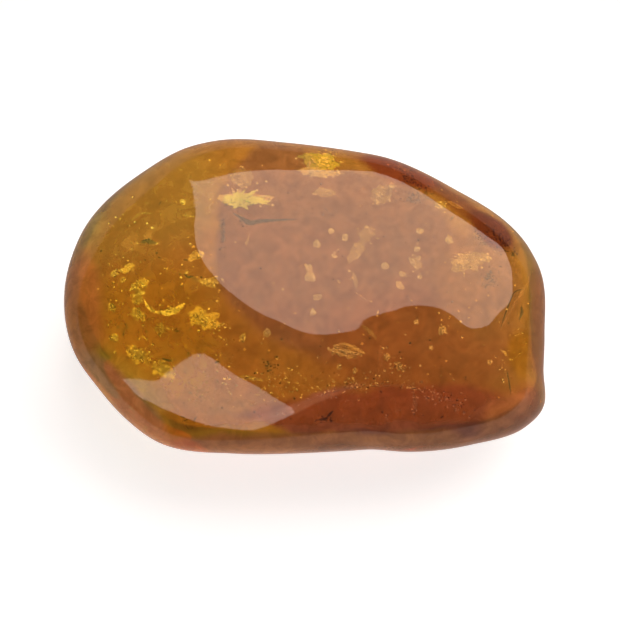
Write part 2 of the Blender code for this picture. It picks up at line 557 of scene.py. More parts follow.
# %% The lamps' outlines on the sky chart
LAMP_DISTANCE = 1.0
LAMP_EDGE_STEPS = 4  # points from one corner of a lamp to the next, on a smooth curve
LAMP_GLOW = 3.4
LAMP_COLOUR = "#FFE9DC"  # a warm white
BACK_LAMP = [
    (-0.21, 0.52), (-0.13, 0.46), (-0.05, 0.43), (0.03, 0.43), (0.07, 0.49), (0.12, 0.59),
    (0.18, 0.60), (0.27, 0.61), (0.44, 0.60), (0.59, 0.59), (0.65, 0.43), (0.67, 0.27),
    (0.68, 0.16), (0.60, 0.10), (0.48, 0.05), (0.34, 0.02), (0.23, 0.06), (0.15, 0.10),
    (0.10, 0.11), (0.08, 0.08), (0.06, 0.02), (0.05, -0.06), (0.03, -0.10), (0.01, -0.10),
    (-0.01, -0.07), (-0.03, -0.05), (-0.04, 0.00), (-0.04, 0.08), (-0.03, 0.18), (-0.03, 0.28),
    (-0.05, 0.35), (-0.11, 0.41),
]
WINDOW_LAMP = [
    (-0.54, -0.46), (-0.45, -0.428), (-0.41, -0.417), (-0.39, -0.407), (-0.37, -0.397),
    (-0.35, -0.388), (-0.33, -0.389), (-0.29, -0.41), (-0.21, -0.45), (-0.10, -0.55),
    (-0.07, -0.61), (-0.13, -0.65), (-0.22, -0.69), (-0.33, -0.57), (-0.40, -0.48),
    (-0.46, -0.47), (-0.51, -0.48),
]
print(len(BACK_LAMP), "and", len(WINDOW_LAMP), "corners")

# %% [markdown]
# ## Hang the lamps
# Each corner of the chart is a direction, and the lamp's corner stands a metre off that way.
# A smooth curve runs through the corners, because a soft lamp has no kinks. Each lamp is one
# large face that glows, hidden from the camera but not from the stone.

# %% Make the lamps
def in_sky(x, y):
    """The direction of a point on the sky chart."""
    reach = x * x + y * y
    return Vector((2 * x, 2 * y, 1 - reach)) / (1 + reach)


def smooth_path(points, steps):
    """That many points along a smooth curve (a Catmull-Rom spline) through the given ones."""
    points = np.array(points, float)
    padded = np.concatenate([[2 * points[0] - points[1]], points, [2 * points[-1] - points[-2]]])
    places = []
    for t in np.linspace(0, len(points) - 1, steps):
        i = min(int(t), len(points) - 2)
        a, b, c, d = padded[i : i + 4]
        t -= i
        bow = 2 * a - 5 * b + 4 * c - d + t * (3 * b - a + d - 3 * c)
        places.append(b + t * (c - a + t * bow) / 2)
    return places


def lamp(name, corners):
    """A glowing shape whose corners stand in the given directions from the stone."""
    outline = smooth_path([*corners, corners[0]], LAMP_EDGE_STEPS * len(corners) + 1)[:-1]
    corners = [(float(x), float(y)) for x, y in outline]
    mesh = bpy.data.meshes.new(name)
    mesh.from_pydata([in_sky(x, y) * LAMP_DISTANCE for x, y in corners], [], [range(len(corners))])
    material = bpy.data.materials.new(name)
    material.use_nodes = True
    material.node_tree.nodes.clear()
    glow = add_node(
        material.node_tree,
        "ShaderNodeEmission",
        {"Color": (*linear(LAMP_COLOUR), 1), "Strength": LAMP_GLOW},
    )
    add_node(material.node_tree, "ShaderNodeOutputMaterial", {"Surface": glow.outputs[0]})
    mesh.materials.append(material)
    thing = add_object(name, mesh)
    thing.visible_camera = False


lamp("back_lamp", BACK_LAMP)
lamp("window_lamp", WINDOW_LAMP)
print("lamps stand", LAMP_DISTANCE, "m from the stone")

# %% [markdown]
# ## The table and the room
# The pebble lies on a plain white table under a pool of soft light. Clear amber shows the table
# through itself, so the table's glow decides how bright the thin parts are. A polished rim also
# mirrors the table, and the photograph's rim mirrors something dimmer than white. So
# the table is hidden from the mirror, and a dim sheet just under it, which only the mirror sees,
# takes its place. The room is a world that is brighter along the horizon than overhead.

# %% Sizes and glow of the table and the room
TABLE_SIDE = 4.0
TABLE_GAP = 0.1 * MM  # a hair's breadth under the stone
TABLE_ROUGHNESS = 0.9
TABLE_SHINE = 0.75
MIRRORED_GLOW = (0.40, 0.85)  # the table's glow in the skin's mirror, at the back and in front
MIRRORED_FADE = 0.03  # how far in front of the stone's middle it is brightest
MIRRORED_COLOUR = "#FFDDD0"
POOL_RADII = (0.030, 0.085)  # where the pool of light on the table starts and stops to fade
POOL_SHADE = 0.1  # the share of that shine that is left outside the pool
TABLE_COLOUR = "#D8DEE4"
HORIZON_GLOW, CEILING_GLOW = 0.5, 0.18
WALL_TOP = 0.5  # the height, as a sine, where the bright wall has faded into the ceiling
BRIGHT_WALL = (-0.7, 0.7, 0.0)  # where the wall is bright: behind the stone, to the left
FAR_SHADE = 0.7  # the share of that glow that is left on the other side
WALL_EDGES = (-0.2, 0.6)  # where the bright wall starts and where it is full
print("the room glows", HORIZON_GLOW, "at the horizon and", CEILING_GLOW, "overhead")

# %% [markdown]
# ## Lay the table
# A matt white board, as under a product photograph. It is rough and has no gloss, so it shows
# no image of the lamps. Its emission stands in for a pool of light from above, which is bright
# about the stone and fades outwards.

# %% The table
def make_table():
    """A matt white board: it has no mirror of its own, and spreads light evenly."""
    bpy.ops.mesh.primitive_plane_add(size=TABLE_SIDE, location=(0, 0, 0))
    table = bpy.context.object
    table.name = "pale_table"
    table.data.transform(Matrix.Translation((0, 0, -TABLE_GAP)))
    material = bpy.data.materials.new("matt_white_board")
    material.use_nodes = True
    shader = material.node_tree.nodes["Principled BSDF"]
    shader.inputs["Base Color"].default_value = (*linear(TABLE_COLOUR), 1)
    shader.inputs["Roughness"].default_value = TABLE_ROUGHNESS
    shader.inputs["Specular IOR Level"].default_value = 0.0
    shader.inputs["Emission Color"].default_value = (1, 1, 1, 1)
    tree = material.node_tree
    coordinates = add_node(tree, "ShaderNodeTexCoord")
    reach = add_node(
        tree, "ShaderNodeVectorMath", {0: coordinates.outputs["Object"]}, operation="LENGTH"
    )
    pool = add_node(
        tree,
        "ShaderNodeMapRange",
        {
            "Value": reach.outputs["Value"],
            "From Min": POOL_RADII[0],
            "From Max": POOL_RADII[1],
            "To Min": TABLE_SHINE,
            "To Max": TABLE_SHINE * POOL_SHADE,
        },
        interpolation_type="SMOOTHSTEP",
    )
    tree.links.new(pool.outputs[0], shader.inputs["Emission Strength"])
    table.data.materials.append(material)
    table.visible_glossy = False


make_table()
print("the table is", TABLE_SIDE, "m wide")

# %% [markdown]
# ## The sheet that the polish mirrors
# This sheet is seen in the skin's mirror and nowhere else: the camera, the diffuse light and
# the rays that pass through the stone all miss it. It is brighter in front of the stone than
# under and behind it, as the photograph's front rim is brighter.

# %% The sheet that the polish mirrors
def make_mirrored_table():
    """The table as the polished skin mirrors it: dimmer, so that the rim stays amber."""
    side = TABLE_SIDE / 2
    mesh = bpy.data.meshes.new("mirrored_table")
    corners = [(-side, -side), (side, -side), (side, side), (-side, side)]
    mesh.from_pydata([(x, y, -2 * TABLE_GAP) for x, y in corners], [], [range(4)])
    material = bpy.data.materials.new("dim_board")
    material.use_nodes = True
    material.node_tree.nodes.clear()
    coordinates = add_node(material.node_tree, "ShaderNodeTexCoord")
    nearer = add_node(
        material.node_tree,
        "ShaderNodeVectorMath",
        {0: coordinates.outputs["Object"], 1: (0, -1, 0)},
        operation="DOT_PRODUCT",
    )
    strength = add_node(
        material.node_tree,
        "ShaderNodeMapRange",
        {
            "Value": nearer.outputs["Value"],
            "From Min": 0.0,
            "From Max": MIRRORED_FADE,
            "To Min": MIRRORED_GLOW[0],
            "To Max": MIRRORED_GLOW[1],
        },
    )
    glow = add_node(
        material.node_tree,
        "ShaderNodeEmission",
        {"Color": (*linear(MIRRORED_COLOUR), 1), "Strength": strength.outputs[0]},
    )
    add_node(material.node_tree, "ShaderNodeOutputMaterial", {"Surface": glow.outputs[0]})
    mesh.materials.append(material)
    thing = add_object("mirrored_table", mesh)
    thing.visible_camera = False
    thing.visible_diffuse = False
    thing.visible_transmission = False
    thing.visible_shadow = False


make_mirrored_table()
print("the mirrored sheet glows", MIRRORED_GLOW)

# %% [markdown]
# ## Build the room
# A photographer's room is brightest where a wall catches the lamp's light. The world's glow
# falls from the horizon to the ceiling, and from one side to the other. It keeps
# the skin from mirroring plain black between the lamps.

# %% The room
def make_room():
    """A plain room: walls that are bright low down and towards one side, and a dim ceiling."""
    world = bpy.data.worlds.new("room")
    bpy.context.scene.world = world
    world.use_nodes = True
    tree = world.node_tree
    coordinates = add_node(tree, "ShaderNodeTexCoord")
    split = add_node(tree, "ShaderNodeSeparateXYZ", {0: coordinates.outputs["Generated"]})
    wall = add_node(
        tree,
        "ShaderNodeMapRange",
        {
            "Value": split.outputs["Z"],
            "From Min": 0.0,
            "From Max": WALL_TOP,
            "To Min": HORIZON_GLOW,
            "To Max": CEILING_GLOW,
        },
    )
    towards = add_node(
        tree,
        "ShaderNodeVectorMath",
        {0: coordinates.outputs["Generated"], 1: BRIGHT_WALL},
        operation="DOT_PRODUCT",
    )
    side = add_node(
        tree,
        "ShaderNodeMapRange",
        {
            "Value": towards.outputs["Value"],
            "From Min": WALL_EDGES[0],
            "From Max": WALL_EDGES[1],
            "To Min": FAR_SHADE,
        },
    )
    glow = add_node(
        tree,
        "ShaderNodeMath",
        {0: wall.outputs[0], 1: side.outputs[0]},
        operation="MULTIPLY",
    )
    tree.links.new(glow.outputs[0], tree.nodes["Background"].inputs["Strength"])


make_room()
print("the wall is brightest towards", BRIGHT_WALL)

# %% [markdown]
# ## What is sealed inside
# Almost everything that glitters in amber is a crack: heat or pressure splits the resin into
# a thin round disc, and its two faces mirror the lamps like crumpled gold leaf. Bubbles, grains
# of bark and short fibres lie between. All are small meshes inside the clear stone. A crack
# only shines where it throws a lamp at the eye, so each one is turned to do so.
#
# The two faces of a crack mirror all the light that meets them at a slant, so a metallic shader
# stands in for them. Their own colour is paler and greener than what is seen, because the
# amber above them tints what they throw back. An alpha below 1 lets the amber show through,
# as it does between the touching spots of a real crack. Bark and soil are dull and dark.

# %% Finishes of the inclusions
FINISHES = {
    # name: colour, how metallic, how rough, how solid
    # A tiny clean crack: it flashes like a scale of mica, and not at all from other sides.
    "glint": ("#F6FFEE", 1.0, 0.10, 1.0),
    # A wide clean crack, split right through: the brightest thing in the stone.
    "bright_crack": ("#E0FFA4", 1.0, 0.08, 1.0),
    # A crack that touches in spots, where no light is thrown back: gold leaf with holes.
    "gold_crack": ("#F2F4C8", 1.0, 0.18, 0.7),
    # The same in a greener flow of resin.
    "olive_crack": ("#C8DC8C", 1.0, 0.24, 0.9),
    # A crack that has nearly closed: a faint pale cloud with edges.
    "pale_crack": ("#DCE8C8", 1.0, 0.24, 0.45),
    # A veil, the seam between two flows of resin: thin, pink and only just seen. Along the
    # front ridge the same finish is a painted reflection of a lamp on the ridge.
    "rosy_crack": ("#E8C8C8", 1.0, 0.28, 0.3),
    # Dry bark: dull and nearly black.
    "bark": ("#2E1408", 0.0, 0.95, 1.0),
    # Crumbs of soil: dull grey-brown.
    "ash": ("#4A3A34", 0.0, 0.95, 1.0),
}


def make_finish(name):
    """The material of one finish in the list."""
    colour, metallic, roughness, solid = FINISHES[name]
    material = bpy.data.materials.new(name)
    material.use_nodes = True
    shader = material.node_tree.nodes["Principled BSDF"]
    shader.inputs["Base Color"].default_value = (*linear(colour), 1)
    shader.inputs["Metallic"].default_value = metallic
    shader.inputs["Roughness"].default_value = roughness
    shader.inputs["Alpha"].default_value = solid
    return material


finishes = {name: make_finish(name) for name in FINISHES}
print("finishes:", ", ".join(finishes))

# %% [markdown]
# ## Turn a crack towards the lamp
# A mirror shows a lamp where its normal halves the angle between the lamp and the eye. Both
# rays bend at the skin, so they are bent first. Every leaf, ribbon and glint below is set by
# this rule, and small folds then make it flash unevenly.

# %% Turn a crack so that it throws the lamp at the eye
LAMP_MIDDLE = (0.22, 0.32)  # a point well inside the back lamp, on the sky chart


def lamp_facing(x, y, depth):
    """The place seen at a picture point, and the normal of a mirror there that shows the lamp."""
    place, bent = into_stone(x, y, depth)
    _, skin_normal, _, _ = skin_tree.find_nearest(place)
    if skin_normal.dot(bent) > 0:
        skin_normal = -skin_normal
    from_lamp = bend_in(-in_sky(*LAMP_MIDDLE), skin_normal)
    return place, (-from_lamp - bent).normalized()


def picture_axes(normal, turn):
    """Two axes in the plane of that normal, turned anticlockwise from right by degrees."""
    right = (RIGHT - RIGHT.dot(normal) * normal).normalized()
    up = normal.cross(right)
    turn = math.radians(turn)
    return (
        math.cos(turn) * right + math.sin(turn) * up,
        math.cos(turn) * up - math.sin(turn) * right,
    )


print("cracks face the lamp at", [round(side, 2) for side in in_sky(*LAMP_MIDDLE)])

# %% [markdown]
# ## A crumpled leaf
# A stress crack is a round disc thinner than paper, with a torn edge. It is made as rings of
# corners about a middle: waves of chance size ripple the outline, and smooth noise lifts the
# corners into folds. A ring of light about a bubble is the same leaf with a hole.

# %% A crumpled leaf, the shape of one crack
LEAF_RINGS, LEAF_SPOKES = 7, 36
FOLD_SIZE_MM = 0.35
WAVE_SHARE, JAG_SHARE = 0.45, 0.35  # how far a full wave and a chance jag move a ragged edge
LEAST_REACH = 0.25  # no notch cuts deeper than to this share of the leaf
WAVES_ROUND = range(2, 9)  # how many times each wave goes up and down around the edge
WAVE_FALL = 0.6  # how fast the quicker waves get smaller
SHIFT = 9  # how far the pattern of folds is slid by chance, in folds
SAME_PLACE = 0.01 * MM  # corners closer than this become one


def folds(place, crumple, shift):
    """The height of small smooth folds at a place, which tilt by about crumple degrees."""
    size = FOLD_SIZE_MM * MM
    return size * math.tan(math.radians(crumple)) * noise.noise(place / size + shift)


def add_leaf(shaper, place, normal, turn, half_size, ragged, crumple, inner, chance):
    """A thin disc with a ragged edge and folds. inner is the share of it that is a hole."""
    right, up = picture_axes(normal, turn)
    shift = Vector(chance.uniform(-SHIFT, SHIFT, 3))
    waves = []
    for k in WAVES_ROUND:
        phase = chance.uniform(0, 2 * math.pi)
        waves.append((k, phase, chance.normal() / k**WAVE_FALL))
    rings = []
    for ring in range(LEAF_RINGS + 1):
        share = inner + (1 - inner) * ring / LEAF_RINGS
        row = []
        for spoke in range(LEAF_SPOKES):
            angle = 2 * math.pi * spoke / LEAF_SPOKES
            wave = sum(size * math.sin(k * angle + phase) for k, phase, size in waves)
            jag = JAG_SHARE * chance.normal() * share
            reach = share * max(LEAST_REACH, 1 + ragged * (WAVE_SHARE * wave + jag))
            across = reach * half_size[0] * MM * math.cos(angle)
            along = reach * half_size[1] * MM * math.sin(angle)
            flat = across * right + along * up
            height = folds(flat, crumple, shift)
            row.append(shaper.verts.new(place + flat + height * normal))
        rings.append(row)
    for low_row, high_row in zip(rings, rings[1:]):
        for k in range(LEAF_SPOKES):
            after = (k + 1) % LEAF_SPOKES
            shaper.faces.new((low_row[k], high_row[k], high_row[after], low_row[after]))
    if inner == 0:
        bmesh.ops.remove_doubles(shaper, verts=rings[0], dist=SAME_PLACE)


print("a leaf has", LEAF_RINGS * LEAF_SPOKES, "squares")

# %% [markdown]
# ## From leaves to a piece
# All leaves and ribbons of one finish are gathered in one mesh, which rides with the stone.
# Triangles are made here, because folded squares would be split differently elsewhere.

# %% Turn a shaper into a piece
def finish_piece(name, shaper, finish):
    """A mesh object of what the shaper holds, riding with the stone."""
    bmesh.ops.triangulate(shaper, faces=shaper.faces[:])
    mesh = bpy.data.meshes.new(name)
    shaper.to_mesh(mesh)
    shaper.free()
    mesh.materials.append(finishes[finish])
    thing = add_object(name, mesh)
    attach(thing, "root")
    print(name, len(mesh.polygons), "faces")
    return thing


# %% [markdown]
# ## A ribbon along a line
# Veils, thin cracks seen edge on and fibres of bark are long and narrow. A ribbon of three
# squares across follows a smooth curve through a few picture points. A long one follows the
# lamp rule along its whole length, and a short one lies in one plane, so that all of
# it flashes at once.

# %% A ribbon along a line of the picture
RIBBON_LEAST_STEPS, RIBBON_MOST_STEPS = 6, 60
STEPS_PER_WIDTH = 3  # steps in a length of one half width
THIN_RIBBON_MM = 0.1  # a half width; thinner ribbons are stepped like this one
RIBBON_END = 0.15  # the part of a step that each end keeps away from having no width
RIBBON_TAPER = 0.6  # below 1 is blunt, and 1 is as pointed as a sine wave
RIBBON_UNEVEN = (0.75, 1.25)
RIBBON_EDGES = (-1, -0.33, 0.33, 1)  # where its corners lie across it, of its half width
MM_PER_PIXEL = 1 / PIXELS_PER_MM
SHORT_RIBBON_MM = 4.5  # a ribbon as short as this lies in one plane, as a crack does


def add_ribbon(shaper, path, depth, half_width, crumple, chance):
    """A crumpled ribbon through picture points, widest at its middle and pointed at its ends."""
    step = max(half_width, THIN_RIBBON_MM)
    steps = int(STEPS_PER_WIDTH * math.dist(path[0], path[-1]) * MM_PER_PIXEL / step)
    steps = min(max(RIBBON_LEAST_STEPS, steps), RIBBON_MOST_STEPS)
    centres = smooth_path(path, steps)
    shift = Vector(chance.uniform(-SHIFT, SHIFT, 3))
    middle, normal = lamp_facing(*centres[steps // 2], depth)
    short = math.dist(path[0], path[-1]) < SHORT_RIBBON_MM * PIXELS_PER_MM
    rows = []
    for k, (x, y) in enumerate(centres):
        if short:
            skin_point, bent = into_stone(x, y, 0)
            place = skin_point + bent * (middle - skin_point).dot(normal) / bent.dot(normal)
        else:
            place, normal = lamp_facing(x, y, depth)
        before, after = centres[max(k - 1, 0)], centres[min(k + 1, steps - 1)]
        heading = (after[0] - before[0]) * RIGHT - (after[1] - before[1]) * UP
        across = normal.cross(heading).normalized()
        along = (k + RIBBON_END) / (steps - 1 + 2 * RIBBON_END)
        width = half_width * MM * math.sin(math.pi * along) ** RIBBON_TAPER
        width *= chance.uniform(*RIBBON_UNEVEN)
        row = []
        for side in RIBBON_EDGES:
            edge = place + side * width * across
            row.append(shaper.verts.new(edge + folds(edge, crumple, shift) * normal))
        rows.append(row)
    for low_row, high_row in zip(rows, rows[1:]):
        for k in range(len(RIBBON_EDGES) - 1):
            shaper.faces.new((low_row[k], low_row[k + 1], high_row[k + 1], high_row[k]))


print("a ribbon has at most", RIBBON_MOST_STEPS, "steps")

# %% [markdown]
# ## Where the large cracks are
# These are read off the photograph one by one, because their places make this pebble this one
# and no other: the bright spangle near the top left, the two gold leaves at the left end, the
# large pale ones behind the lamp's mirror image.

# %% The large cracks
# Each: the picture point, depth in mm, half width and height in mm, turn in degrees, how
# ragged, and how crumpled in degrees.
CRACKS = {
    "bright_crack": [
        ((242, 200), 0.9, (2.00, 0.50), 2, 0.8, 0.5),
        ((236, 199), 0.8, (0.95, 0.75), 0, 0.8, 0.5),
        ((257, 201), 0.8, (1.10, 0.32), -3, 0.8, 0.5),
        ((240, 199), 0.7, (1.00, 0.55), 40, 0.8, 0.5),
    ],
    "glint": [
        ((350, 352), 1.1, (0.90, 0.14), -14, 0.6, 2),
        ((334, 256), 1.4, (0.16, 0.18), 0, 0.9, 1),
        ((442, 331), 1.0, (0.30, 0.26), 0, 0.9, 2),
    ],
    "rosy_crack": [
        ((131, 242), 1.3, (0.95, 0.95), 0, 0.4, 2),
        ((148, 236), 1.3, (0.60, 0.40), 0, 0.4, 2),
    ],
    "gold_crack": [
        ((237, 200), 1.5, (1.75, 0.85), 2, 0.20, 3),
        ((254, 199), 1.7, (1.70, 0.60), -4, 0.40, 3),
        ((228, 201), 1.8, (0.75, 0.45), 10, 0.40, 3),
        ((318, 172), 1.0, (1.80, 0.50), -3, 0.25, 3),
        ((196, 256), 1.3, (0.85, 0.42), 25, 0.30, 3),
        ((163, 369), 1.2, (1.15, 0.80), -35, 0.35, 3),
        ((138, 355), 1.4, (1.30, 0.80), -35, 0.25, 3),
        ((127, 268), 1.4, (0.80, 0.35), 20, 0.3, 3),
        ((142, 317), 1.3, (0.30, 0.55), 20, 0.3, 3),
        ((145, 338), 1.0, (0.42, 0.12), -32, 0.2, 3),
        ((131, 408), 0.7, (0.32, 0.10), -20, 0.2, 3),
        ((504, 353), 0.8, (0.45, 0.08), -40, 0.2, 3),
        ((204, 319), 1.7, (1.45, 0.95), -20, 0.3, 3),
        ((455, 205), 0.7, (0.80, 0.30), -28, 0.5, 3),
        ((346, 351), 1.3, (1.60, 0.60), -8, 0.3, 3),
    ],
    "olive_crack": [
        ((320, 161), 1.4, (1.95, 0.95), 3, 0.28, 3),
        ((404, 168), 1.1, (0.90, 0.35), -22, 0.5, 3),
    ],
    "pale_crack": [
        ((242, 178), 1.9, (1.05, 1.20), 0, 0.25, 3),
        ((382, 194), 1.7, (1.10, 1.05), 0, 0.22, 3),
        ((441, 205), 0.9, (0.58, 0.50), -20, 0.2, 3),
        ((366, 234), 2.0, (0.65, 0.85), -10, 0.3, 3),
        ((357, 251), 2.1, (0.65, 1.30), -28, 0.3, 3),
        ((467, 262), 1.6, (1.45, 1.05), 0, 0.35, 3),
        ((485, 258), 1.4, (0.60, 0.50), 0, 0.3, 3),
        ((355, 280), 2.4, (0.22, 0.75), 12, 0.3, 3),
        ((160, 329), 1.5, (0.50, 0.58), 20, 0.3, 3),
        ((210, 282), 1.3, (0.85, 0.48), 8, 0.35, 3),
        ((318, 297), 1.7, (0.42, 0.30), -10, 0.3, 3),
        ((325, 192), 2.0, (1.00, 0.45), 0, 0.5, 3),
        ((415, 263), 1.6, (0.50, 0.65), 15, 0.4, 3),
    ],
}
print(sum(len(rows) for rows in CRACKS.values()), "cracks")

# %% [markdown]
# ## Where the bubbles are
# A gas bubble that met a crack shows as a small bright ring with a paler disc in it. They lie
# in loose strings at the left end and across the middle.

# %% The bubbles
# The picture point and the radius in mm.
HALOS = [
    ((135, 287), 0.40), ((143, 283), 0.50), ((140, 292), 0.42), ((137, 299), 0.50),
    ((114, 274), 0.32), ((123, 280), 0.28), ((87, 282), 0.30), ((87, 292), 0.28),
    ((183, 202), 0.30), ((112, 307), 0.38), ((137, 313), 0.50), ((114, 338), 0.42),
    ((309, 268), 0.38), ((310, 277), 0.48), ((420, 231), 0.34), ((417, 249), 0.30),
    ((449, 240), 0.42), ((392, 186), 0.38), ((387, 357), 0.36), ((431, 348), 0.20),
    ((243, 337), 0.34), ((267, 333), 0.38), ((339, 367), 0.25), ((355, 370), 0.22),
    ((400, 286), 0.36), ((402, 274), 0.28), ((385, 266), 0.36), ((420, 277), 0.24),
    ((345, 237), 0.36), ((331, 231), 0.28), ((317, 244), 0.40), ((490, 362), 0.24),
    ((416, 322), 0.26), ((442, 330), 0.40), ((399, 366), 0.36), ((313, 312), 0.30),
]
print(len(HALOS), "bubbles")

# %% [markdown]
# ## Where the lines are
# Among them are the bright crescent at the left, the faint pink line along the front ridge, which
# is a painted reflection, and the dark fold under the spangle. Short fibres of bark lie mostly
# near the front.

# %% The bright, veined and dark lines
# The picture points, depth in mm, half width in mm, and how crumpled in degrees.
STREAKS = {
    "glint": [
        ([(144, 299), (148, 307), (156, 312), (165, 313)], 1.2, 0.14, 1),
        ([(157, 312), (167, 313), (176, 310), (185, 303)], 1.2, 0.30, 1),
    ],
    "gold_crack": [
        ([(334, 345), (346, 344), (358, 350), (366, 354)], 1.0, 0.12, 4),
        ([(500, 350), (505, 352), (507, 356)], 0.8, 0.08, 3),
    ],
    "pale_crack": [
        ([(131, 221), (138, 215), (146, 213), (155, 214)], 1.2, 0.10, 4),
        ([(249, 233), (248, 240), (246, 247)], 1.4, 0.10, 4),
        ([(236, 377), (248, 377), (264, 381)], 1.2, 0.20, 6),
        ([(362, 325), (369, 331), (377, 338)], 1.3, 0.22, 5),
        ([(414, 392), (415, 400), (415, 410)], 1.2, 0.28, 6),
        ([(393, 412), (403, 409)], 0.9, 0.12, 4),
        ([(374, 447), (405, 448), (438, 447)], 0.3, 0.10, 3),
        ([(182, 215), (196, 217)], 1.0, 0.10, 4),
    ],
    "rosy_crack": [
        # The first three ribbons, along the front ridge, are a painted reflection: pink sheets
        # that stand where the ridge mirrors a lamp.
        ([(300, 404), (330, 393), (358, 387), (407, 385)], 0.7, 0.05, 3),
        ([(352, 384), (380, 386), (407, 384)], 0.8, 0.09, 4),
        ([(430, 392), (445, 398), (467, 409)], 0.8, 0.04, 4),
        ([(530, 268), (528, 282), (514, 305), (500, 330)], 0.8, 0.14, 4),
        ([(381, 345), (380, 356), (382, 368)], 1.6, 0.25, 4),
    ],
    "bark": [
        ([(233, 213), (243, 219), (250, 223), (262, 221), (298, 219)], 1.0, 0.26, 3),
        ([(387, 420), (387, 432), (388, 446)], 1.2, 0.07, 3),
        ([(525, 289), (514, 293), (506, 312), (500, 330)], 1.2, 0.07, 3),
        ([(521, 306), (522, 312), (519, 320)], 1.2, 0.16, 3),
        ([(183, 273), (188, 277), (192, 277), (198, 282)], 0.9, 0.13, 3),
        ([(507, 370), (509, 382), (511, 396)], 1.0, 0.07, 3),
        ([(141, 242), (148, 241), (155, 243)], 0.9, 0.26, 3),
    ],
}
# Short fibres of bark: the picture point, length in mm, half width in mm, turn in degrees.
FIBRES = [
    ((145, 412), 0.8, 0.05, 80), ((159, 414), 0.5, 0.05, 70), ((183, 417), 0.7, 0.05, -20),
    ((186, 420), 0.5, 0.05, 15), ((195, 419), 0.8, 0.06, 62), ((138, 380), 0.6, 0.04, 70),
    ((153, 418), 0.4, 0.04, 60), ((127, 327), 0.9, 0.05, 90), ((167, 360), 1.1, 0.12, -15),
    ((185, 372), 0.6, 0.08, -40), ((188, 354), 0.4, 0.08, 80), ((217, 362), 0.5, 0.08, 20),
    ((177, 331), 0.5, 0.07, 5), ((452, 218), 0.6, 0.06, 55), ((442, 417), 0.4, 0.08, 30),
    ((467, 433), 0.4, 0.08, 15), ((186, 260), 0.5, 0.07, -5), ((176, 329), 0.4, 0.05, 40),
    ((330, 414), 0.9, 0.12, 45), ((323, 419), 1.1, 0.12, 10), ((331, 421), 0.5, 0.10, -60),
    ((268, 437), 0.6, 0.06, 85), ((160, 203), 0.5, 0.06, 60), ((101, 251), 0.3, 0.10, 40),
]
print(sum(len(rows) for rows in STREAKS.values()), "lines and", len(FIBRES), "fibres")

# %% [markdown]
# ## Make the cracks and the lines
# There is one mesh for each finish. Every finish gets its own seed, so the shapes come out
# the same on each run.

# %% Make the cracks and the lines
def make_cracks(finish, seed):
    """All the leaves and ribbons of one finish, as one piece."""
    chance = np.random.default_rng(seed)
    shaper = bmesh.new()
    for (x, y), depth, half_size, turn, ragged, crumple in CRACKS.get(finish, []):
        place, normal = lamp_facing(x, y, depth)
        add_leaf(shaper, place, normal, turn, half_size, ragged, crumple, 0, chance)
    for path, depth, half_width, crumple in STREAKS.get(finish, []):
        add_ribbon(shaper, path, depth, half_width, crumple, chance)
    finish_piece(finish + "_sheets", shaper, finish)


for seed, finish in enumerate(sorted({*CRACKS, *STREAKS})):
    make_cracks(finish, seed)

# %% [markdown]
# ## Make the bubbles
# Each is a bright ring of the golden finish with a disc of the paler one just behind it.

# %% Make the bubbles
RING_HOLE = 0.78  # the share of a bubble's ring that is open
RING_RAGGED, DISC_RAGGED = 0.35, 0.25
DISC_BEHIND_MM = 0.1
BUBBLE_FOLDS = 3  # how much they crumple, in degrees
BUBBLE_DEPTHS_MM = (0.9, 1.8)
BUBBLE_ROUNDNESS = (0.7, 1.0)
BUBBLE_SEED = 11


def make_halos():
    """A ring and a paler disc, a little deeper, for each bubble."""
    chance = np.random.default_rng(BUBBLE_SEED)
    rings, discs = bmesh.new(), bmesh.new()
    for (x, y), radius in HALOS:
        place, normal = lamp_facing(x, y, chance.uniform(*BUBBLE_DEPTHS_MM))
        half_size = (radius, radius * chance.uniform(*BUBBLE_ROUNDNESS))
        turn = chance.uniform(0, 180)
        look = (RING_RAGGED, BUBBLE_FOLDS, RING_HOLE)
        add_leaf(rings, place, normal, turn, half_size, *look, chance)
        deeper = place - normal * DISC_BEHIND_MM * MM
        look = (DISC_RAGGED, BUBBLE_FOLDS, 0)
        add_leaf(discs, deeper, normal, turn, half_size, *look, chance)
    finish_piece("bubble_rings", rings, "gold_crack")
    finish_piece("bubble_discs", discs, "pale_crack")


make_halos()

# %% [markdown]
# ## Make the fibres
# A fibre of bark is a narrow dark ribbon between two points, just under the skin.

# %% Make the fibres
FIBRE_DEPTH_MM = 0.7
FIBRE_FOLDS = 4
FIBRE_SEED = 12


def make_fibres():
    """Straight narrow ribbons of bark."""
    chance = np.random.default_rng(FIBRE_SEED)
    shaper = bmesh.new()
    for (x, y), length, half_width, turn in FIBRES:
        turn = math.radians(turn)
        step = length / 2 * PIXELS_PER_MM
        ends = [
            (x - step * math.cos(turn), y + step * math.sin(turn)),
            (x + step * math.cos(turn), y - step * math.sin(turn)),
        ]
        add_ribbon(shaper, ends, FIBRE_DEPTH_MM, half_width, FIBRE_FOLDS, chance)
    finish_piece("bark_fibres", shaper, "bark")


make_fibres()

# %% [markdown]
# ## Glitter, grains and dust
# Hundreds of specks float between the cracks: tiny discs that flash, and crumbs of bark and
# ash. No one would place them by hand. Geometry Nodes sets a copy of a small shape on every
# point of a cloud, and the result is kept as a plain mesh. Each point says which way its speck
# faces, and chance leans and sizes it: a high power of chance makes few large ones.

# %% The node tree that sets a speck on every point
FEW_LARGE = 3.0  # the power that chance is raised to
SPECK_INPUTS = {
    "Points": "Geometry", "Smallest": "Float", "Largest": "Float", "Thickness": "Float",
    "Lean": "Float", "Seed": "Int", "Finish": "Material",
}


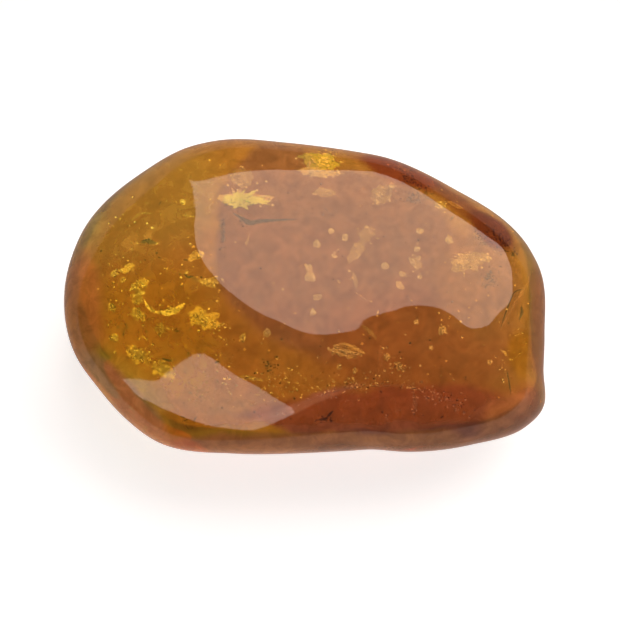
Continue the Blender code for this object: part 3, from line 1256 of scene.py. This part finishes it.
def speck_tree():
    """Sets a flattened ball on each point, with its short axis along the point's "facing"."""
    tree = bpy.data.node_groups.new("specks_on_points", "GeometryNodeTree")
    face = tree.interface
    for name, kind in SPECK_INPUTS.items():
        face.new_socket(name, in_out="INPUT", socket_type="NodeSocket" + kind)
    face.new_socket("Specks", in_out="OUTPUT", socket_type="NodeSocketGeometry")
    given = add_node(tree, "NodeGroupInput").outputs
    speck = add_node(tree, "GeometryNodeMeshIcoSphere", {"Radius": 1.0, "Subdivisions": 1})
    lean = add_node(
        tree,
        "ShaderNodeCombineXYZ",
        {"X": given["Lean"], "Y": given["Lean"], "Z": 0.0},
    )
    chance_lean = add_node(
        tree,
        "FunctionNodeRandomValue",
        {0: (-1.0, -1.0, -1.0), 1: (1.0, 1.0, 1.0), "Seed": given["Seed"]},
        data_type="FLOAT_VECTOR",
    )
    leaning = add_node(
        tree,
        "ShaderNodeVectorMath",
        {0: chance_lean.outputs[0], 1: lean.outputs[0]},
        operation="MULTIPLY",
    )
    facing = add_node(
        tree, "GeometryNodeInputNamedAttribute", {"Name": "facing"}, data_type="FLOAT_VECTOR"
    )
    upright = add_node(
        tree, "FunctionNodeAlignRotationToVector", {"Vector": facing.outputs[0]}, axis="Z"
    )
    tipped = add_node(tree, "FunctionNodeEulerToRotation", {"Euler": leaning.outputs[0]})
    turn = add_node(
        tree,
        "FunctionNodeRotateRotation",
        {"Rotation": upright.outputs[0], "Rotate By": tipped.outputs[0]},
        rotation_space="LOCAL",
    )
    chance = add_node(tree, "FunctionNodeRandomValue", {"Seed": given["Seed"]}, data_type="FLOAT")
    biased = add_node(
        tree, "ShaderNodeMath", {0: chance.outputs[1], 1: FEW_LARGE}, operation="POWER"
    )
    size = add_node(
        tree,
        "ShaderNodeMapRange",
        {
            "Value": biased.outputs[0],
            "To Min": given["Smallest"],
            "To Max": given["Largest"],
        },
    )
    thin = add_node(
        tree,
        "ShaderNodeMath",
        {0: size.outputs[0], 1: given["Thickness"]},
        operation="MULTIPLY",
    )
    scale = add_node(
        tree,
        "ShaderNodeCombineXYZ",
        {"X": size.outputs[0], "Y": size.outputs[0], "Z": thin.outputs[0]},
    )
    placed = add_node(
        tree,
        "GeometryNodeInstanceOnPoints",
        {
            "Points": given["Points"],
            "Instance": speck.outputs["Mesh"],
            "Rotation": turn.outputs[0],
            "Scale": scale.outputs[0],
        },
    )
    real = add_node(tree, "GeometryNodeRealizeInstances", {"Geometry": placed.outputs[0]})
    coated = add_node(
        tree,
        "GeometryNodeSetMaterial",
        {"Geometry": real.outputs[0], "Material": given["Finish"]},
    )
    add_node(tree, "NodeGroupOutput", {"Specks": coated.outputs[0]})
    return tree


SPECK_TREE = speck_tree()
print(len(SPECK_TREE.nodes), "nodes in the speck tree")

# %% [markdown]
# ## Where the clouds are
# Specks gather about the cracks, in bands along the front ridge, and in dark smudges of soil
# at the top right. A few wide clouds strew some more through the whole stone.

# %% Clouds of specks
# Each: the picture point, spread across and up in mm, turn in degrees, number, and the least
# and greatest depth in mm.
CLOUDS = {
    "gold_glints": [
        ((203, 318), (0.65, 0.45), -20, 90, (1.0, 1.6)),
        ((222, 325), (0.30, 0.15), -10, 20, (1.0, 1.6)),
        ((139, 355), (0.60, 0.35), -35, 110, (0.9, 1.3)),
        ((163, 369), (0.50, 0.40), 0, 120, (0.9, 1.2)),
        ((334, 255), (0.20, 0.22), 0, 16, (1.0, 1.6)),
        ((345, 352), (0.75, 0.25), -8, 50, (0.8, 1.4)),
        ((442, 330), (0.40, 0.35), 0, 20, (0.8, 1.6)),
        ((250, 200), (1.30, 0.35), 0, 40, (1.0, 1.7)),
        ((320, 164), (0.90, 0.50), 0, 40, (0.8, 1.4)),
        ((120, 295), (1.60, 1.60), 0, 60, (0.8, 3.0)),
        ((455, 203), (0.90, 0.45), -30, 16, (0.7, 1.5)),
        ((404, 170), (0.90, 0.35), -25, 30, (0.7, 1.5)),
        ((300, 300), (12.0, 8.0), 0, 300, (0.5, 4.0)),
        ((160, 290), (4.5, 5.5), 0, 260, (0.5, 3.0)),
        ((520, 345), (0.60, 1.50), 0, 25, (0.5, 1.5)),
        ((151, 309), (0.35, 0.12), -42, 30, (1.0, 1.3)),
        ((171, 310), (0.50, 0.14), 12, 50, (1.0, 1.3)),
    ],
    "pale_glints": [
        ((250, 378), (0.80, 0.15), 0, 35, (0.8, 1.5)),
        ((285, 382), (2.40, 1.40), 0, 120, (0.6, 2.0)),
        ((350, 384), (2.70, 0.55), 6, 110, (0.6, 1.6)),
        ((435, 396), (1.90, 0.40), -24, 120, (0.5, 1.3)),
        ((399, 366), (0.50, 0.40), 0, 35, (0.8, 1.6)),
        ((415, 263), (0.35, 0.50), 20, 30, (1.0, 1.8)),
        ((402, 275), (0.50, 0.12), -10, 14, (1.0, 1.6)),
        ((400, 287), (0.22, 0.18), 0, 10, (1.0, 1.6)),
        ((385, 266), (0.25, 0.20), 0, 12, (1.0, 1.6)),
        ((415, 405), (0.15, 0.60), 0, 30, (0.7, 1.3)),
        ((387, 417), (0.15, 0.15), 0, 10, (0.7, 1.0)),
        ((211, 282), (0.45, 0.25), 0, 30, (1.0, 1.5)),
        ((325, 192), (0.60, 0.20), 0, 24, (1.2, 2.0)),
        ((207, 385), (1.60, 1.00), 0, 90, (0.5, 1.4)),
        ((487, 240), (0.90, 0.40), -30, 30, (0.7, 1.6)),
        ((502, 362), (0.40, 1.00), 0, 16, (0.6, 1.4)),
        ((330, 310), (13.0, 9.0), 0, 420, (0.5, 4.0)),
    ],
    "bark_specks": [
        ((123, 328), (0.30, 0.35), 0, 30, (0.8, 1.6)),
        ((270, 365), (0.50, 0.50), 30, 50, (0.8, 2.0)),
        ((327, 418), (0.45, 0.22), 20, 40, (0.6, 1.0)),
        ((360, 384), (2.60, 0.40), 0, 45, (0.8, 2.0)),
        ((455, 400), (1.20, 0.35), -25, 30, (0.7, 1.5)),
        ((410, 180), (0.80, 0.35), -40, 160, (0.2, 0.7)),
        ((424, 187), (0.80, 0.20), -30, 60, (0.2, 0.7)),
        ((500, 238), (0.90, 0.32), -42, 220, (0.2, 0.7)),
        ((513, 254), (0.25, 0.25), 0, 30, (0.2, 0.7)),
        ((510, 402), (0.20, 0.25), 0, 12, (0.6, 1.2)),
        ((465, 380), (0.18, 0.30), 0, 10, (0.6, 1.2)),
        ((300, 300), (13.0, 9.0), 0, 260, (0.6, 4.0)),
        ((200, 400), (4.0, 1.2), -10, 40, (0.5, 1.5)),
    ],
    "ash_specks": [
        ((413, 198), (0.75, 0.35), 0, 220, (1.0, 2.0)),
        ((490, 278), (0.60, 0.55), 30, 220, (1.0, 2.0)),
        ((223, 233), (0.16, 0.90), 0, 160, (1.0, 2.0)),
        ((322, 213), (0.80, 0.25), 0, 40, (1.5, 2.2)),
        ((248, 221), (0.50, 0.20), 0, 40, (1.2, 1.8)),
        ((483, 240), (0.80, 0.40), -35, 120, (1.0, 2.0)),
    ],
}
# The finish of each cloud, the speck's smallest and largest radius in mm, its thickness as a
# share of that, and the most that it leans, in degrees, from facing the lamp.
SPECKS = {
    "gold_glints": ("glint", 0.04, 0.17, 0.10, 6),
    "pale_glints": ("glint", 0.05, 0.16, 0.10, 6),
    "bark_specks": ("bark", 0.04, 0.15, 0.60, 180),
    "ash_specks": ("ash", 0.04, 0.13, 0.50, 180),
}
print(sum(len(rows) for rows in CLOUDS.values()), "clouds")

# %% [markdown]
# ## Glitter on every crack
# A crumpled crack doesn't shine evenly: it flashes in small bits all over. So each gold, olive
# and pale crack and each bubble gets a little cloud of its own, just above it. The number
# of bits follows from its area.

# %% A cloud for each crack and bubble
BITS_PER_MM2 = 22
BITS_SPREAD = 0.55  # of the crack's own half size
BITS_ABOVE_MM = (0.3, 0.1)
BUBBLE_BITS = 2  # a bubble gets so many times more to the square millimetre
BUBBLE_SPREAD = 0.5
BUBBLE_BIT_DEPTHS_MM = (0.6, 0.9)
for finish, cloud in (
    ("gold_crack", "gold_glints"),
    ("olive_crack", "gold_glints"),
    ("pale_crack", "pale_glints"),
):
    for spot, depth, (wide, tall), turn, _, _ in CRACKS[finish]:
        number = int(BITS_PER_MM2 * math.pi * wide * tall)
        spread = (BITS_SPREAD * wide, BITS_SPREAD * tall)
        depths = (depth - BITS_ABOVE_MM[0], depth - BITS_ABOVE_MM[1])
        CLOUDS[cloud].append((spot, spread, turn, number, depths))
for spot, radius in HALOS:
    number = int(BUBBLE_BITS * BITS_PER_MM2 * math.pi * radius**2)
    spread = (BUBBLE_SPREAD * radius, BUBBLE_SPREAD * radius)
    CLOUDS["pale_glints"].append((spot, spread, 0, number, BUBBLE_BIT_DEPTHS_MM))
print(sum(len(rows) for rows in CLOUDS.values()), "clouds with those of the cracks")

# %% [markdown]
# ## Strew the specks
# Chance draws the points of a cloud about its middle. A point that would miss the stone or come
# out at its far side is left out. The rest become a mesh of loose corners, each with the
# direction that it should face, and the node tree sets a speck on every one.

# %% Make the clouds
OFF_SKIN = 0.01 * MM  # a step that takes a ray clear of the skin
LEAST_THICKNESS = 2  # the stone has to be so many times thicker there than the point is deep


def inside_stone(x, y, depth):
    """The place and the lamp-facing normal, or None off the stone and where it is too thin."""
    ray = sight_line(x, y)
    if skin_tree.ray_cast(eye, ray)[0] is None:
        return None
    skin_point, bent = into_stone(x, y, 0)
    through = skin_tree.ray_cast(skin_point + bent * OFF_SKIN, bent)[3]
    if through is None or through < LEAST_THICKNESS * depth * MM:
        return None
    return lamp_facing(x, y, depth)


def make_cloud(name, seed):
    """All the specks of one cloud list, as one plain mesh."""
    chance = np.random.default_rng(seed)
    places = []
    for (x, y), (wide, tall), turn, number, (least, greatest) in CLOUDS[name]:
        turn = math.radians(turn)
        for across, along, depth in zip(
            chance.normal(size=number) * wide * PIXELS_PER_MM,
            chance.normal(size=number) * tall * PIXELS_PER_MM,
            chance.uniform(least, greatest, size=number),
        ):
            place = inside_stone(
                x + across * math.cos(turn) - along * math.sin(turn),
                y - across * math.sin(turn) - along * math.cos(turn),
                float(depth),
            )
            if place is not None:
                places.append(place)
    points = bpy.data.meshes.new(name + "_points")
    points.from_pydata([place for place, _ in places], [], [])
    facing = points.attributes.new("facing", "FLOAT_VECTOR", "POINT")
    facing.data.foreach_set("vector", [side for _, normal in places for side in normal])
    holder = add_object(name + "_points", points)
    finish, smallest, largest, thickness, lean = SPECKS[name]
    nodes = holder.modifiers.new("specks", "NODES")
    nodes.node_group = SPECK_TREE
    values = {
        "Smallest": smallest * MM,
        "Largest": largest * MM,
        "Thickness": thickness,
        "Lean": math.radians(lean),
        "Seed": seed,
        "Finish": finishes[finish],
    }
    for socket in SPECK_TREE.interface.items_tree:
        if socket.name in values:
            nodes[socket.identifier] = values[socket.name]
    graph = bpy.context.evaluated_depsgraph_get()
    mesh = bpy.data.meshes.new_from_object(holder.evaluated_get(graph))
    mesh.name = name
    bpy.data.objects.remove(holder)
    cloud = add_object(name, mesh)
    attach(cloud, "root")
    print(name, len(places), "specks,", len(mesh.polygons), "faces")


for seed, name in enumerate(CLOUDS):
    make_cloud(name, seed)
